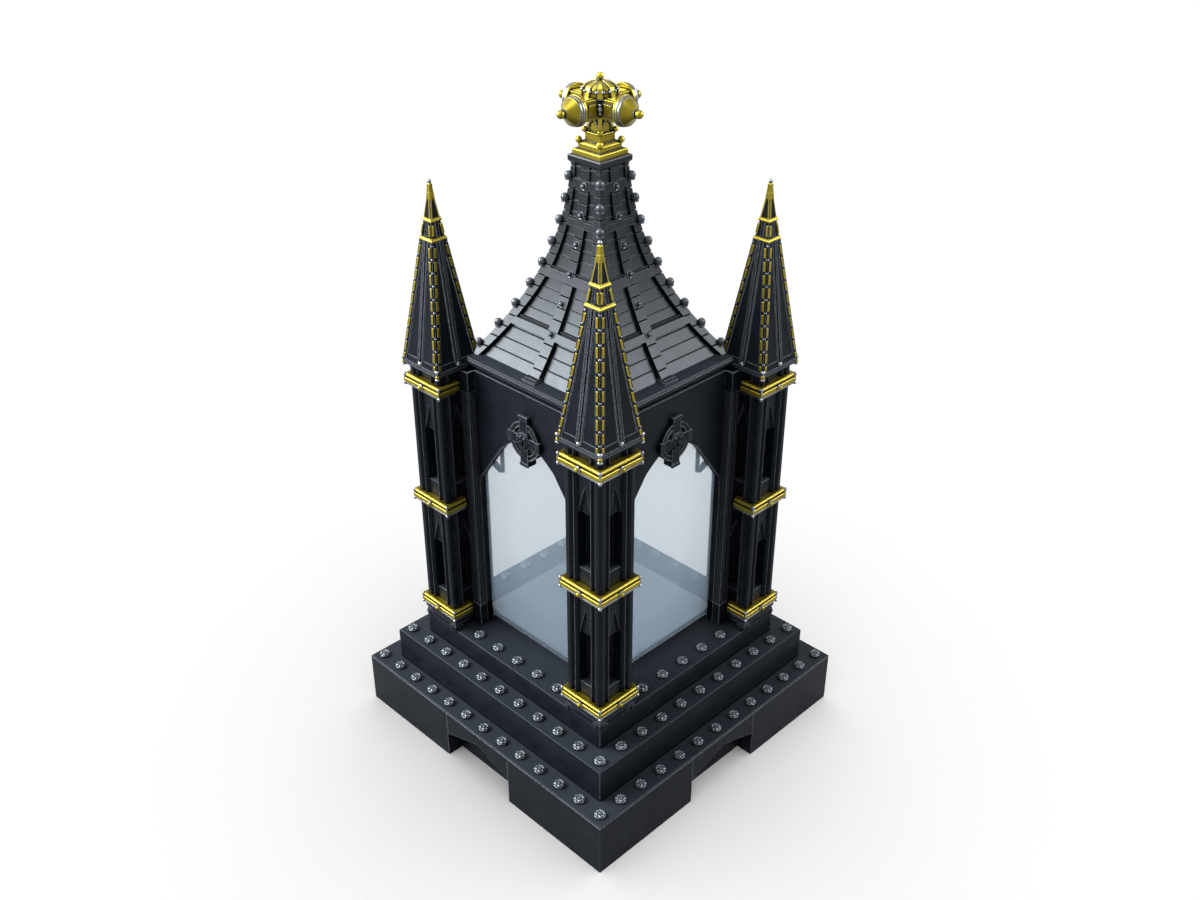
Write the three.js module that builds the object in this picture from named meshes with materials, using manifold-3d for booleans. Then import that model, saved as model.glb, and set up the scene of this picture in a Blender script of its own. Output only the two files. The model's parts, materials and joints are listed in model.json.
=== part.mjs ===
// Reliquary: a Gothic tower shrine of blackened metal. Three stepped slabs carry four pillars with spires,
// four arched walls around a glass case, and a swept roof with a gilt finial. Millimetres, +Z up, origin
// at the middle of the underside. The front is -Y.
import * as THREE from 'three';
import { mergeVertices } from 'three/addons/utils/BufferGeometryUtils.js';
import Module from 'manifold-3d';

const wasm = await Module();
wasm.setup();

// ---- driving dimensions -------------------------------------------------------------------------------
const GAP = 0.3; // clearance between pieces that stand side by side

// stepped plinth: half-width, underside and top of each slab
const LOWER = { half: 120, bottom: 0, top: 40 };
const MIDDLE = { half: 104, bottom: 40, top: 64 };
const UPPER = { half: 88, bottom: 64, top: 80 };
const SLAB_CHAMFER = 1.2;
const RECESS = { half: 32, wall: 20, apex: 30.7, depth: 12 };
const STUD = { radius: 3.8, height: 3.3, sides: 5 };
const STUD_ROWS = [
  { slab: LOWER, line: 112.5, pitch: 18.75, each: 6 },
  { slab: MIDDLE, line: 96.5, pitch: 19.3, each: 5 },
  { slab: UPPER, line: 80, pitch: 20, each: 2 },
];

// pillars: square shafts with corner colonnettes, V-grooves and a splayed panel on every face
const PILLAR = { centre: 72.3, half: 15.2, bottom: 80, top: 281 };
const GROOVE = { at: 9, half: 2, depth: 2 };
const SPLAY = { outer: 7.2, inner: 4.6, depth: 2.6 };
const NICHE = { half: 5.2, sills: [107.3, 196.6], spring: 39, rise: 18.5, depth: 9.2 };
const FOOT = { at: 12.6, radius: 4.6, height: 4.4, sides: 8 };
const BAND = { half: 17.95, bottoms: [89.9, 177.6, 265.9], bore: 15.5, wallFace: 71.5 };

// arched walls between the pillars
const WALL = { front: 65, back: 60.3, halfWidth: 56.8, top: 281 };
const ARCH = { half: 48.3, spring: 201, kinkX: 24, kinkZ: 234.4, apex: 250.5 };
const JAMB = { front: 71.2, groove: 1.2, base: 97.5, capital: 266.3, inset: 0.6 };
const CROSS = { front: 67.8, back: 65, centreZ: 249.2, barHalf: 3.55, tall: 17.8, wide: 14 };
const CROSS_RING = { outer: 13.4, inner: 10, front: 67.2, sides: 10 };
const CROSS_BOSS = { radius: 5.5, rise: 3.4, sides: 8 };

// glass case inside the walls
const PANE = { outer: 60, thickness: 3, halfLength: 56.8, bottom: 84.5 };
const FLOOR = { half: 56.7, bottom: 84.5, thickness: 2 };
const PAD = { inner: 48.3, bottom: 80, top: 84.5 };

// cornice, spires and roof
const CORNICE = { half: 65.6, bottom: 281, top: 291.3 };
const EAVE = { half: 18, bottom: 281, top: 288.3 };
const BRACKET = { inner: 45.6, outer: 55.8, tip: 48.4, bottom: 198.5, heel: 213, leg: 1.9, thickness: 2.8 };
const SPIRE = { half: 16.5, bottom: 288.3, tip: 402, top: 366.4 };
const TRIM = { out: 0.95, width: 2.3, ring1: 379.3, half1: 4.4, ring2: 366.6, half2: 6.2, ballRadius: 1.3 };
const ROOF = { foot: 57, bottom: 291.3, top: 414.4, neck: 12.2, collar: 13.7, collarTop: 418.3 };
const ROOF_BALL = { radius: 2.9, count: 9, top: 404.5, pitch: 13.7, sides: 5 };

// gilt finial
const FINIAL = { base: 418.3, neckTop: 441.5, headTop: 453 };
const HEAD = { arm: 19, armHalf: 6.2, bottom: 441.5, bracket: 9.2 };
const BOSS = { axis: 447.4, reach: 31.35, flange: 9.3, sides: 10 };
const DOME = { radius: 10.3, top: 462, sides: 12, ball: 2.3 };

// ---- materials ----------------------------------------------------------------------------------------
const finish = (colour, roughness, metalness) =>
  () => new THREE.MeshStandardMaterial({ color: colour, roughness, metalness });
const black = finish(0x23282f, 0.42, 0.55);
const roofBlack = finish(0x3a4048, 0.35, 0.6);
const gilt = finish(0xc9a227, 0.3, 1);
const glass = () => new THREE.MeshStandardMaterial({
  color: 0xb5c6d1, roughness: 0.05, metalness: 0, transparent: true, opacity: 0.35,
});

// ---- solids -------------------------------------------------------------------------------------------
const SQRT2 = Math.SQRT2;
const QUARTER = Math.PI / 2;

// a closed three.js geometry as a solid that can be joined and cut
function solid(geometry) {
  const bare = geometry.clone();
  bare.deleteAttribute('normal');
  bare.deleteAttribute('uv');
  const merged = mergeVertices(bare, 1e-4);
  const index = merged.index.array;
  const triangles = [];
  for (let i = 0; i < index.length; i += 3) {
    const [a, b, c] = [index[i], index[i + 1], index[i + 2]];
    if (a !== b && b !== c && c !== a) triangles.push(a, b, c);
  }
  return new wasm.Manifold(new wasm.Mesh({
    numProp: 3,
    vertProperties: new Float32Array(merged.attributes.position.array),
    triVerts: new Uint32Array(triangles),
  }));
}

function join(...solids) {
  return solids.reduce((whole, piece) => whole.add(piece));
}

function cut(whole, ...cutters) {
  return cutters.reduce((rest, cutter) => rest.subtract(cutter), whole);
}

function mesh(name, body, material, quarterTurns = 0) {
  const { vertProperties, triVerts } = body.getMesh();
  const geometry = new THREE.BufferGeometry();
  geometry.setAttribute('position', new THREE.BufferAttribute(new Float32Array(vertProperties), 3));
  geometry.setIndex(new THREE.BufferAttribute(new Uint32Array(triVerts), 1));
  geometry.computeVertexNormals();
  const piece = new THREE.Mesh(geometry, material());
  piece.name = name;
  piece.rotation.z = quarterTurns * QUARTER;
  return piece;
}

function block(x0, x1, y0, y1, z0, z1) {
  const geometry = new THREE.BoxGeometry(x1 - x0, y1 - y0, z1 - z0);
  geometry.translate((x0 + x1) / 2, (y0 + y1) / 2, (z0 + z1) / 2);
  return solid(geometry);
}

// a profile of [radius, z] rows turned about the Z axis; it starts and ends on the axis
function turned(profile, sides, phase = 0) {
  const points = profile.map(([radius, z]) => new THREE.Vector2(radius, z));
  return solid(new THREE.LatheGeometry(points, sides, phase).rotateX(QUARTER));
}

// the same with four flat sides, its rows being [half-width, z]
function square(profile) {
  return turned(profile.map(([half, z]) => [half * SQRT2, z]), 4, Math.PI / 4);
}

// an outline in the XY plane raised from z0 to z1
function raised(outline, z0, z1) {
  const shape = new THREE.Shape(outline.map(([x, y]) => new THREE.Vector2(x, y)));
  const geometry = new THREE.ExtrudeGeometry(shape, { depth: z1 - z0, bevelEnabled: false });
  return solid(geometry.translate(0, 0, z0));
}

// an outline in the XZ plane, from y = -front to y = -back
function upright(shape, front, back) {
  const geometry = new THREE.ExtrudeGeometry(shape, { depth: front - back, bevelEnabled: false });
  return solid(geometry.rotateX(QUARTER).translate(0, -back, 0));
}

function outlineXZ(points) {
  return new THREE.Shape(points.map(([x, z]) => new THREE.Vector2(x, z)));
}

function quarterTurned(body, turns) {
  return body.rotate([0, 0, 90 * turns]);
}

const onFourSides = (body) => [0, 1, 2, 3].map((turns) => quarterTurned(body, turns));

// a box whose upper end is moved sideways: slope is the shift in x and y for each millimetre of height
function leaning(x0, x1, y0, y1, z0, z1, slopeX, slopeY) {
  const geometry = new THREE.BoxGeometry(x1 - x0, y1 - y0, z1 - z0);
  geometry.translate((x0 + x1) / 2, (y0 + y1) / 2, (z1 - z0) / 2);
  const shear = new THREE.Matrix4().set(1, 0, slopeX, 0, 0, 1, slopeY, 0, 0, 0, 1, 0, 0, 0, 0, 1);
  geometry.applyMatrix4(shear);
  return solid(geometry.translate(0, 0, z0));
}

// small balls: a bead has a round waist, a gem only a sharp one
const bead = (radius, sides) => turned([[0, -radius], [radius * 0.87, -radius / 2], [radius * 0.87, radius / 2],
  [0, radius]], sides);
const gem = (radius, sides) => turned([[0, -radius], [radius, 0], [0, radius]], sides);

// ---- plinth -------------------------------------------------------------------------------------------
function slab({ half, bottom, top }) {
  return square([[0, bottom], [half, bottom], [half, top - SLAB_CHAMFER], [half - SLAB_CHAMFER, top],
    [0, top]]);
}

function stud(x, y, z) {
  return turned([[0, z - 0.6], [STUD.radius, z - 0.6], [0, z + STUD.height]], STUD.sides).translate([x, y, 0]);
}

// studs along all four sides of a slab, each corner stud counted once
function studs({ slab: { top }, line, pitch, each }) {
  const cornered = Math.abs(pitch * each - line) < 1;
  const row = [];
  for (let i = -each; i < (cornered ? each : each + 1); i += 1) row.push(stud(pitch * i, -line, top));
  return [0, 1, 2, 3].flatMap((turns) => row.map((piece) => quarterTurned(piece, turns)));
}

function recess() {
  const { half, wall, apex, depth } = RECESS;
  const gable = outlineXZ([[-half, -1], [half, -1], [half, wall], [0, apex], [-half, wall]]);
  return upright(gable, LOWER.half + 1, LOWER.half - depth);
}

function plinth() {
  const [lowerStuds, middleStuds, upperStuds] = STUD_ROWS.map(studs);
  return [
    mesh('plinth_lower', join(cut(slab(LOWER), ...onFourSides(recess())), ...lowerStuds), black),
    mesh('plinth_middle', join(slab(MIDDLE), ...middleStuds), black),
    mesh('plinth_upper', join(slab(UPPER), ...upperStuds), black),
  ];
}

// ---- glass case ---------------------------------------------------------------------------------------
function glassCase(sides) {
  const outer = -PANE.outer;
  const inner = outer + PANE.thickness;
  const pane = block(-PANE.halfLength, PANE.halfLength, outer, inner, PANE.bottom, CORNICE.bottom);
  const panes = sides.map((side, turns) => mesh(`glass_${side}`, pane, glass, turns));
  const plate = square([[0, FLOOR.bottom], [FLOOR.half, FLOOR.bottom],
    [FLOOR.half, FLOOR.bottom + FLOOR.thickness], [0, FLOOR.bottom + FLOOR.thickness]]);
  return [mesh('case_floor', plate, glass), ...panes];
}

function casePads(corners) {
  const { inner, bottom, top } = PAD;
  const edge = PANE.halfLength;
  const pad = join(block(inner, edge, -PANE.outer, -inner, bottom, top),
    block(inner, PANE.outer, -edge, -inner, bottom, top));
  return corners.map((corner, turns) => mesh(`case_pad_${corner}`, pad, black, turns));
}

// ---- pillars ------------------------------------------------------------------------------------------
// one face of the shaft section, from the left corner to just before the right one, facing -Y
function pillarFace() {
  const { half } = PILLAR;
  const round = 1.6;
  const left = [
    [-half, -half + round], [-half + round, -half],
    [-GROOVE.at - GROOVE.half, -half], [-GROOVE.at, -half + GROOVE.depth], [-SPLAY.outer, -half],
    [-SPLAY.inner, -half + SPLAY.depth],
  ];
  const right = left.slice(2).reverse().map(([x, y]) => [-x, y]);
  return [...left, ...right];
}

function pillarSection() {
  const turn = ([x, y], turns) => {
    const point = new THREE.Vector2(x, y).rotateAround(new THREE.Vector2(), turns * QUARTER);
    return [point.x, point.y];
  };
  return [0, 1, 2, 3].flatMap((turns) => pillarFace().map((point) => turn(point, turns)));
}

function niche(sill) {
  const { half, spring, rise, depth } = NICHE;
  const lancet = outlineXZ([[-half, sill], [half, sill], [half, sill + spring], [0, sill + spring + rise],
    [-half, sill + spring]]);
  return upright(lancet, PILLAR.half + 1, PILLAR.half - depth);
}

function pillar() {
  const shaft = raised(pillarSection(), PILLAR.bottom, PILLAR.top);
  const niches = NICHE.sills.flatMap((sill) => onFourSides(niche(sill)));
  const { at, radius, height, sides } = FOOT;
  const base = PILLAR.bottom;
  const foot = turned([[0, base], [radius, base], [radius - 0.6, base + height], [0, base + height]], sides)
    .translate([at, -at, 0]);
  const limit = PILLAR.centre - BAND.wallFace;
  const wallSide = block(-30, limit, -limit, 30, base - 1, base + height + 1);
  const feet = [0, 1, 3].map((turns) => cut(quarterTurned(foot, turns), wallSide));
  return join(cut(shaft, ...niches), ...feet).translate([PILLAR.centre, -PILLAR.centre, 0]);
}

// a band goes round the two open faces and returns on the other two as far as the wall piers
function band(bottom) {
  const { half, bore, wallFace } = BAND;
  const ring = square([[0, bottom], [half, bottom + 1.2], [half, bottom + 4.6], [half - 1.1, bottom + 5.4],
    [half - 0.4, bottom + 6.2], [half - 0.6, bottom + 8], [0, bottom + 8]]);
  const hollow = block(-bore, bore, -bore, bore, bottom - 1, bottom + 9);
  const limit = PILLAR.centre - wallFace;
  const wallSide = block(-30, limit, -limit, 30, bottom - 1, bottom + 9);
  return cut(ring, hollow, wallSide).translate([PILLAR.centre, -PILLAR.centre, 0]);
}

function pillars(corners) {
  const heights = ['lower', 'middle', 'upper'];
  return corners.flatMap((corner, turns) => [
    mesh(`pillar_${corner}`, pillar(), black, turns),
    ...BAND.bottoms.map((bottom, i) => mesh(`band_${heights[i]}_${corner}`, band(bottom), gilt, turns)),
  ]);
}

// ---- arched walls and their crosses -------------------------------------------------------------------
// the pointed opening: straight jambs, a steep slope to the kink, then a flatter curve to the apex
function archOpening() {
  const { half, spring, kinkX, kinkZ, apex } = ARCH;
  const shape = new THREE.Shape();
  shape.moveTo(-half, UPPER.top - 1);
  shape.lineTo(half, UPPER.top - 1);
  shape.lineTo(half, spring);
  shape.lineTo(kinkX, kinkZ);
  shape.quadraticCurveTo(kinkX * 0.45, kinkZ + 10.5, 0, apex);
  shape.quadraticCurveTo(-kinkX * 0.45, kinkZ + 10.5, -kinkX, kinkZ);
  shape.lineTo(-half, spring);
  return shape;
}

// section of the pier on the right of the opening, with a colonnette on its front corner
function jambSection() {
  const { front, groove, inset } = JAMB;
  const face = -front + inset;
  const side = ARCH.half + inset;
  const colonnette = 3;
  return [
    [WALL.halfWidth, -WALL.back], [side, -WALL.back],
    [side, -WALL.back - 2], [side + groove, -WALL.back - 2 - groove], [side, -WALL.back - 2 - 2 * groove],
    [side, face + colonnette + 2 * groove - 0.2], [side + groove, face + colonnette + groove - 0.2],
    [side, face + colonnette - 0.2],
    [side, face + 0.9], [side + 0.9, face],
    [side + colonnette, face], [side + colonnette + groove, face + groove],
    [side + colonnette + 2 * groove, face], [WALL.halfWidth, face],
  ];
}

function jamb() {
  const { front, base, capital } = JAMB;
  const pier = raised(jambSection(), UPPER.top, WALL.top);
  const foot = block(ARCH.half, WALL.halfWidth, -front, -WALL.back, UPPER.top, base);
  const head = block(ARCH.half, WALL.halfWidth, -front, -WALL.back, capital, WALL.top);
  return join(pier, foot, head);
}

function archWall() {
  const { front, back, halfWidth, top } = WALL;
  const panel = block(-halfWidth, halfWidth, -front, -back, UPPER.top, top);
  const opening = new THREE.ExtrudeGeometry(archOpening(), {
    depth: front - back + 2, bevelEnabled: false, curveSegments: 4,
  }).rotateX(QUARTER).translate(0, -back + 1, 0);
  const pier = jamb();
  return join(cut(panel, solid(opening)), pier, pier.mirror([1, 0, 0]));
}

function cross() {
  const { front, back, centreZ, barHalf, tall, wide } = CROSS;
  const stem = block(-barHalf, barHalf, -front, -back - GAP, centreZ - tall, centreZ + tall);
  const arms = block(-wide, wide, -front, -back - GAP, centreZ - barHalf, centreZ + barHalf);
  const disc = (radius, y) => new THREE.CylinderGeometry(radius, radius, y - back - GAP, CROSS_RING.sides)
    .translate(0, -(y + back + GAP) / 2, centreZ);
  const ring = cut(solid(disc(CROSS_RING.outer, CROSS_RING.front)),
    solid(disc(CROSS_RING.inner, CROSS_RING.front + 4)), solid(disc(CROSS_RING.inner, CROSS_RING.front - 9)));
  const boss = turned([[0, -0.5], [CROSS_BOSS.radius, -0.5], [CROSS_BOSS.radius, 0.8], [0, CROSS_BOSS.rise]],
    CROSS_BOSS.sides)
    .rotate([90, 0, 0]).translate([0, -front, centreZ]);
  return join(stem, arms, ring, boss);
}

function walls(sides) {
  const wall = archWall();
  const emblem = cross();
  return sides.flatMap((side, turns) => [
    mesh(`arch_${side}`, wall, black, turns),
    mesh(`cross_${side}`, emblem, black, turns),
  ]);
}

// ---- cornice, spires and roof -------------------------------------------------------------------------
function cornice() {
  const { half, bottom, top } = CORNICE;
  const plate = square([[0, bottom], [half - 2.6, bottom], [half - 2.6, bottom + 1.8], [half, bottom + 3.4],
    [half, bottom + 5.6], [ROOF.foot + 1, top], [0, top]]);
  const eave = square([[0, EAVE.bottom], [EAVE.half, EAVE.bottom + 0.8], [EAVE.half, EAVE.bottom + 3.2],
    [EAVE.half - 0.9, EAVE.bottom + 4.2], [EAVE.half - 1.2, EAVE.top], [0, EAVE.top]])
    .translate([PILLAR.centre, -PILLAR.centre, 0]);
  const seat = SPIRE.half + TRIM.out + GAP;
  const spireSeat = block(-seat, seat, -seat, seat, SPIRE.bottom, top + 1)
    .translate([PILLAR.centre, -PILLAR.centre, 0]);
  return cut(join(plate, ...onFourSides(eave)), ...onFourSides(spireSeat));
}

// an open knee bracket that hangs from the ceiling in each corner of the case, set on the diagonal
function ceilingBracket() {
  const { inner, outer, tip, bottom, heel, leg, thickness } = BRACKET;
  const along = (c) => c * SQRT2;
  const top = CORNICE.bottom;
  const frame = outlineXZ([[along(inner), top], [along(inner), bottom], [along(tip), bottom],
    [along(outer), heel], [along(outer), top]]);
  const rail = top - 3 * leg;
  const rake = (heel - bottom) / (outer - tip);
  const window = outlineXZ([[along(inner + leg), rail], [along(inner + leg), bottom + leg * rake],
    [along(outer - leg), heel + leg * 0.6 * rake], [along(outer - leg), rail]]);
  return cut(upright(frame, thickness / 2, -thickness / 2), upright(window, thickness, -thickness))
    .rotate([0, 0, -45]);
}

// the corner of the roof's foot and its lowest ball, which the spires and their trim are cut clear of
function roofCorner() {
  const limit = PILLAR.centre - ROOF.foot - 3 * GAP;
  return block(-30, -limit, limit, 30, SPIRE.bottom - 1, ROOF.bottom + 8);
}

// half-width of the spire at a height
function spireHalf(z) {
  return SPIRE.half * (SPIRE.tip - z) / (SPIRE.tip - SPIRE.bottom);
}

const spireSlope = -SPIRE.half / (SPIRE.tip - SPIRE.bottom);

function spire() {
  const { half, bottom, top } = SPIRE;
  const pyramid = square([[0, bottom], [half, bottom], [spireHalf(top), top], [0, top]]);
  return cut(pyramid, roofCorner()).translate([PILLAR.centre, -PILLAR.centre, 0]);
}

// gilt edging of a spire: a bar along every ridge, two square rings and the tapering tip with its ball
function spireTrim() {
  const { out, width, ring1, half1, ring2, half2, ballRadius } = TRIM;
  const { bottom, top, tip } = SPIRE;
  const corner = SPIRE.half + out;
  const bar = leaning(corner - width, corner, -corner, -corner + width, bottom, top + 1, spireSlope, -spireSlope);
  const clearance = GAP / 2;
  const core = square([[0, bottom - 1], [SPIRE.half + clearance, bottom - 1],
    [SPIRE.half + clearance, bottom], [spireHalf(top) + clearance, top + GAP], [0, top + GAP]]);
  const taper = square([[0, ring2], [spireHalf(ring2) + 0.9, ring2], [spireHalf(tip - 2.6) + 0.9, tip - 3],
    [0, tip - 3]]);
  const ring = (z, half) => square([[0, z - 1], [half, z - 1], [half, z + 1.8], [0, z + 1.8]]);
  const ball = gem(ballRadius, 4).translate([0, 0, tip - 2]);
  const trim = join(...onFourSides(bar), taper, ring(ring1, half1), ring(ring2, half2), ball);
  return cut(trim, core, roofCorner()).translate([PILLAR.centre, -PILLAR.centre, 0]);
}

// half-width of the roof at a height: steep at the collar and sweeping out towards the eaves
function roofHalf(z) {
  const fall = (ROOF.top - z) / (ROOF.top - ROOF.bottom);
  return ROOF.neck + (ROOF.foot - ROOF.neck) * (0.18 * fall + 0.82 * fall ** 2.25);
}

function roof() {
  const steps = 10;
  const sweep = [];
  for (let i = 0; i <= steps; i += 1) {
    const z = ROOF.bottom + (ROOF.top - ROOF.bottom) * i / steps;
    sweep.push([roofHalf(z), z]);
  }
  const body = square([[0, ROOF.bottom], ...sweep, [ROOF.collar, ROOF.top], [ROOF.collar, ROOF.collarTop],
    [0, ROOF.collarTop]]);
  const pieces = [body];
  for (let i = 0; i < ROOF_BALL.count; i += 1) {
    const z = ROOF_BALL.top - ROOF_BALL.pitch * i;
    const out = roofHalf(z) + 0.6;
    pieces.push(...onFourSides(gem(ROOF_BALL.radius, ROOF_BALL.sides).translate([out, -out, z + 1])));
  }
  return join(...pieces);
}

function spires(corners) {
  return corners.flatMap((corner, turns) => [
    mesh(`spire_${corner}`, spire(), black, turns),
    mesh(`spire_trim_${corner}`, spireTrim(), gilt, turns),
  ]);
}

// ---- finial -------------------------------------------------------------------------------------------
function finialBase() {
  const z = FINIAL.base;
  const steps = square([[0, z], [11.8, z], [11.8, z + 3.5], [9.2, z + 3.5], [9.2, z + 6.2], [8.2, z + 7.4],
    [6.3, z + 8.2], [6.3, z + 12.7], [5, z + 14.7], [5, FINIAL.neckTop], [0, FINIAL.neckTop]]);
  const beads = [[8.3, z + 8.2, 2.1], [6, z + 14.4, 1.7]].flatMap(([at, height, radius]) =>
    onFourSides(gem(radius, 5).translate([at, -at, height])));
  return join(steps, ...beads);
}

function finialHead() {
  const { arm, armHalf, bottom, bracket } = HEAD;
  const top = FINIAL.headTop;
  const bar = block(-arm, arm, -armHalf, armHalf, bottom, top);
  const collar = square([[0, bottom + 3.2], [bracket, bottom + 3.2], [bracket, top - 3.2], [0, top - 3.2]]);
  return join(bar, quarterTurned(bar, 1), collar);
}

// a boss on the end of an arm, turned about the arm's axis and pointing along -Y
function finialBoss() {
  const { axis, reach, flange, sides } = BOSS;
  const start = HEAD.arm;
  return turned([[0, start], [flange, start], [flange, start + 2.2], [flange - 1.3, start + 4.4],
    [2.2, reach - 2.2], [2.5, reach], [0, reach + 2.6]], sides)
    .rotate([90, 0, 0]).translate([0, 0, axis]);
}

function finialDome() {
  const { radius, top, sides, ball } = DOME;
  const foot = FINIAL.headTop;
  const rise = top - foot - 1.4;
  const rows = [0, 1, 2].map((i) => {
    const angle = i * QUARTER / 3;
    return [radius * 0.94 * Math.cos(angle), foot + 1.4 + rise * Math.sin(angle)];
  });
  const dome = turned([[0, foot], [radius, foot], [radius, foot + 1.4], ...rows, [0, top]], sides);
  return join(dome, bead(ball, 6).translate([0, 0, top + ball * 0.8]));
}

function finial(sides) {
  const boss = finialBoss();
  return [
    mesh('finial_base', finialBase(), gilt),
    mesh('finial_head', finialHead(), gilt),
    mesh('finial_dome', finialDome(), gilt),
    ...sides.map((side, turns) => mesh(`finial_boss_${side}`, boss, gilt, turns)),
  ];
}

// ---- assembly: sides and corners are numbered by quarter turns from the front -------------------------
const SIDES = ['front', 'right', 'back', 'left'];
const CORNERS = ['front_right', 'back_right', 'back_left', 'front_left'];

const reliquary = new THREE.Group();
reliquary.add(
  ...plinth(),
  ...casePads(CORNERS),
  ...glassCase(SIDES),
  ...pillars(CORNERS),
  ...walls(SIDES),
  mesh('cornice', cornice(), black),
  ...CORNERS.map((corner, turns) => mesh(`ceiling_bracket_${corner}`, ceilingBracket(), black, turns)),
  ...spires(CORNERS),
  mesh('roof', roof(), roofBlack),
  ...finial(SIDES),
);

export default reliquary;
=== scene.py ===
import json
import math

import bmesh
import bpy
from mathutils import Matrix, Vector

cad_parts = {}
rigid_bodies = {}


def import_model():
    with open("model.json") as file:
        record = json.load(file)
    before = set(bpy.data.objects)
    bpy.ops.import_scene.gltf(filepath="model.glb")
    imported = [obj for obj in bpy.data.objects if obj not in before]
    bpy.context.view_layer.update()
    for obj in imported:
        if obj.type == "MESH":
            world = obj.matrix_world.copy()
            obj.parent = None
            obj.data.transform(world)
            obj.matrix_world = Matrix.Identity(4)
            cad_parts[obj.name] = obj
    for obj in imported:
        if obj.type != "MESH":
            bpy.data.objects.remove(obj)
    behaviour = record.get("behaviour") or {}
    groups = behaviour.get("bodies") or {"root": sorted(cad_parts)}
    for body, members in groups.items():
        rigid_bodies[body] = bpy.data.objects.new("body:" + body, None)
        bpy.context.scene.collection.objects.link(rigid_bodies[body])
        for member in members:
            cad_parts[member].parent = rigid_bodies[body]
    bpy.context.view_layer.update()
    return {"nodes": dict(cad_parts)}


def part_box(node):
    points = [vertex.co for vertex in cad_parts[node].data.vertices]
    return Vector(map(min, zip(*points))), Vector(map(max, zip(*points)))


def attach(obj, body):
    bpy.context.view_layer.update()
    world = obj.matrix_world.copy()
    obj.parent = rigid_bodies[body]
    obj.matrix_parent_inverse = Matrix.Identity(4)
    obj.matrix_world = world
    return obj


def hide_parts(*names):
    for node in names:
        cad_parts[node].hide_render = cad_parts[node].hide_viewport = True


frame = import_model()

# Looks of a Gothic tower reliquary: blackened metal, gilt trim and a clear case. Sizes are millimetres,
# +Z up, with the front at -Y; the meshes are written in metres.
MM = 0.001
SIDES = ("front", "right", "back", "left")
CORNERS = ("front_right", "back_right", "back_left", "front_left")
QUARTER = math.pi / 2


# ---- sizes read from the frame ---------------------------------------------------------------------
def low(node, axis=2):
    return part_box(node)[0][axis] / MM


def high(node, axis=2):
    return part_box(node)[1][axis] / MM


BANDS = ("lower", "middle", "upper")
PILLAR_AT = (low("band_middle_front_right", 0) + high("band_middle_front_right", 0)) / 2
BAND_HALF = high("band_middle_front_right", 0) - PILLAR_AT
BAND_TOPS = [high(f"band_{band}_front_right") for band in BANDS]
PLINTH_TOP = low("case_pad_front_right")
OPENING_HALF = low("case_pad_front_right", 0)
WALL_HALF = high("arch_front", 0)
JAMB_FRONT = -low("arch_front", 1)
WALL_BACK = -high("arch_front", 1)
CEILING = low("cornice")
SPIRE_FOOT = low("spire_front_right")
ROOF_FOOT = low("roof")
COLLAR_TOP = high("roof")
HEAD_FOOT = low("finial_head")
HEAD_TOP = high("finial_head")
ARM = high("finial_head", 0)

# ---- other driving sizes ---------------------------------------------------------------------------
PILLAR_HALF = 15.2
BAND_RISE = 8
WALL_FRONT = 65.0
SPIRE_HALF, SPIRE_RISE = 16.5, 114.7
SPIRE_TIP = SPIRE_FOOT + SPIRE_RISE
ROOF_HALF, ROOF_NECK = 57.0, 12.2
COLLAR_RISE = 4
ROOF_TOP = COLLAR_TOP - COLLAR_RISE


# ---- shells: a closed shell is a list of points and a list of faces ----------------------------------
def loft(rings):
    """A closed shell through rings of points; a ring whose points all meet becomes a tip."""
    points, levels = [], []
    for ring in rings:
        ring = [Vector(point) for point in ring]
        tip = all((point - ring[0]).length < 1e-6 for point in ring)
        kept = ring[:1] if tip else ring
        levels.append(list(range(len(points), len(points) + len(kept))))
        points += kept
    faces = []
    for under, over in zip(levels, levels[1:]):
        count = max(len(under), len(over))
        for i in range(count):
            j = (i + 1) % count
            corners = (under[i % len(under)], under[j % len(under)], over[j % len(over)], over[i % len(over)])
            faces.append(tuple(dict.fromkeys(corners)))
    faces += [tuple(end) for end in (levels[0], levels[-1]) if len(end) > 1]
    return points, faces


def hoop(section, sides=32):
    """A closed ring: a section of (radius, z) points carried round the Z axis."""
    count = len(section)
    points = []
    for step in range(sides):
        angle = 2 * math.pi * step / sides
        points += [Vector((r * math.cos(angle), r * math.sin(angle), z)) for r, z in section]
    faces = []
    for step in range(sides):
        here, after = step * count, (step + 1) % sides * count
        for i in range(count):
            j = (i + 1) % count
            faces.append((here + i, here + j, after + j, after + i))
    return points, faces


def box(x0, x1, y0, y1, z0, z1):
    return prism([(x0, y0), (x1, y0), (x1, y1), (x0, y1)], z0, z1)


def prism(outline, z0, z1):
    return loft([[(x, y, z) for x, y in outline] for z in (z0, z1)])


def plate(outline, y0, y1):
    """An outline in the XZ plane, from y0 to y1."""
    return loft([[(x, y, z) for x, z in outline] for y in (y0, y1)])


def square(half, z):
    return [(-half, -half, z), (half, -half, z), (half, half, z), (-half, half, z)]


def tower(profile, foot=0):
    """A four-sided body; the profile's rows are (half-width, height above the foot)."""
    return loft([square(half, foot + z) for half, z in profile])


def turned(profile, sides=20, petals=0):
    """A body turned about Z; the rows are (radius, z) or (radius, z, depth of the scallops)."""
    rings = []
    for row in profile:
        radius, z, depth = (*row, 0)[:3]
        ring = []
        for step in range(sides):
            angle = 2 * math.pi * step / sides
            r = radius - depth * (0.5 - 0.5 * math.cos(petals * angle))
            ring.append((r * math.cos(angle), r * math.sin(angle), z))
        rings.append(ring)
    return loft(rings)


def ball(radius, sides=14, rows=8):
    angles = [math.pi * (i / rows - 0.5) for i in range(rows + 1)]
    return turned([(radius * math.cos(a) if 0 < i < rows else 0, radius * math.sin(a))
                   for i, a in enumerate(angles)], sides)


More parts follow.
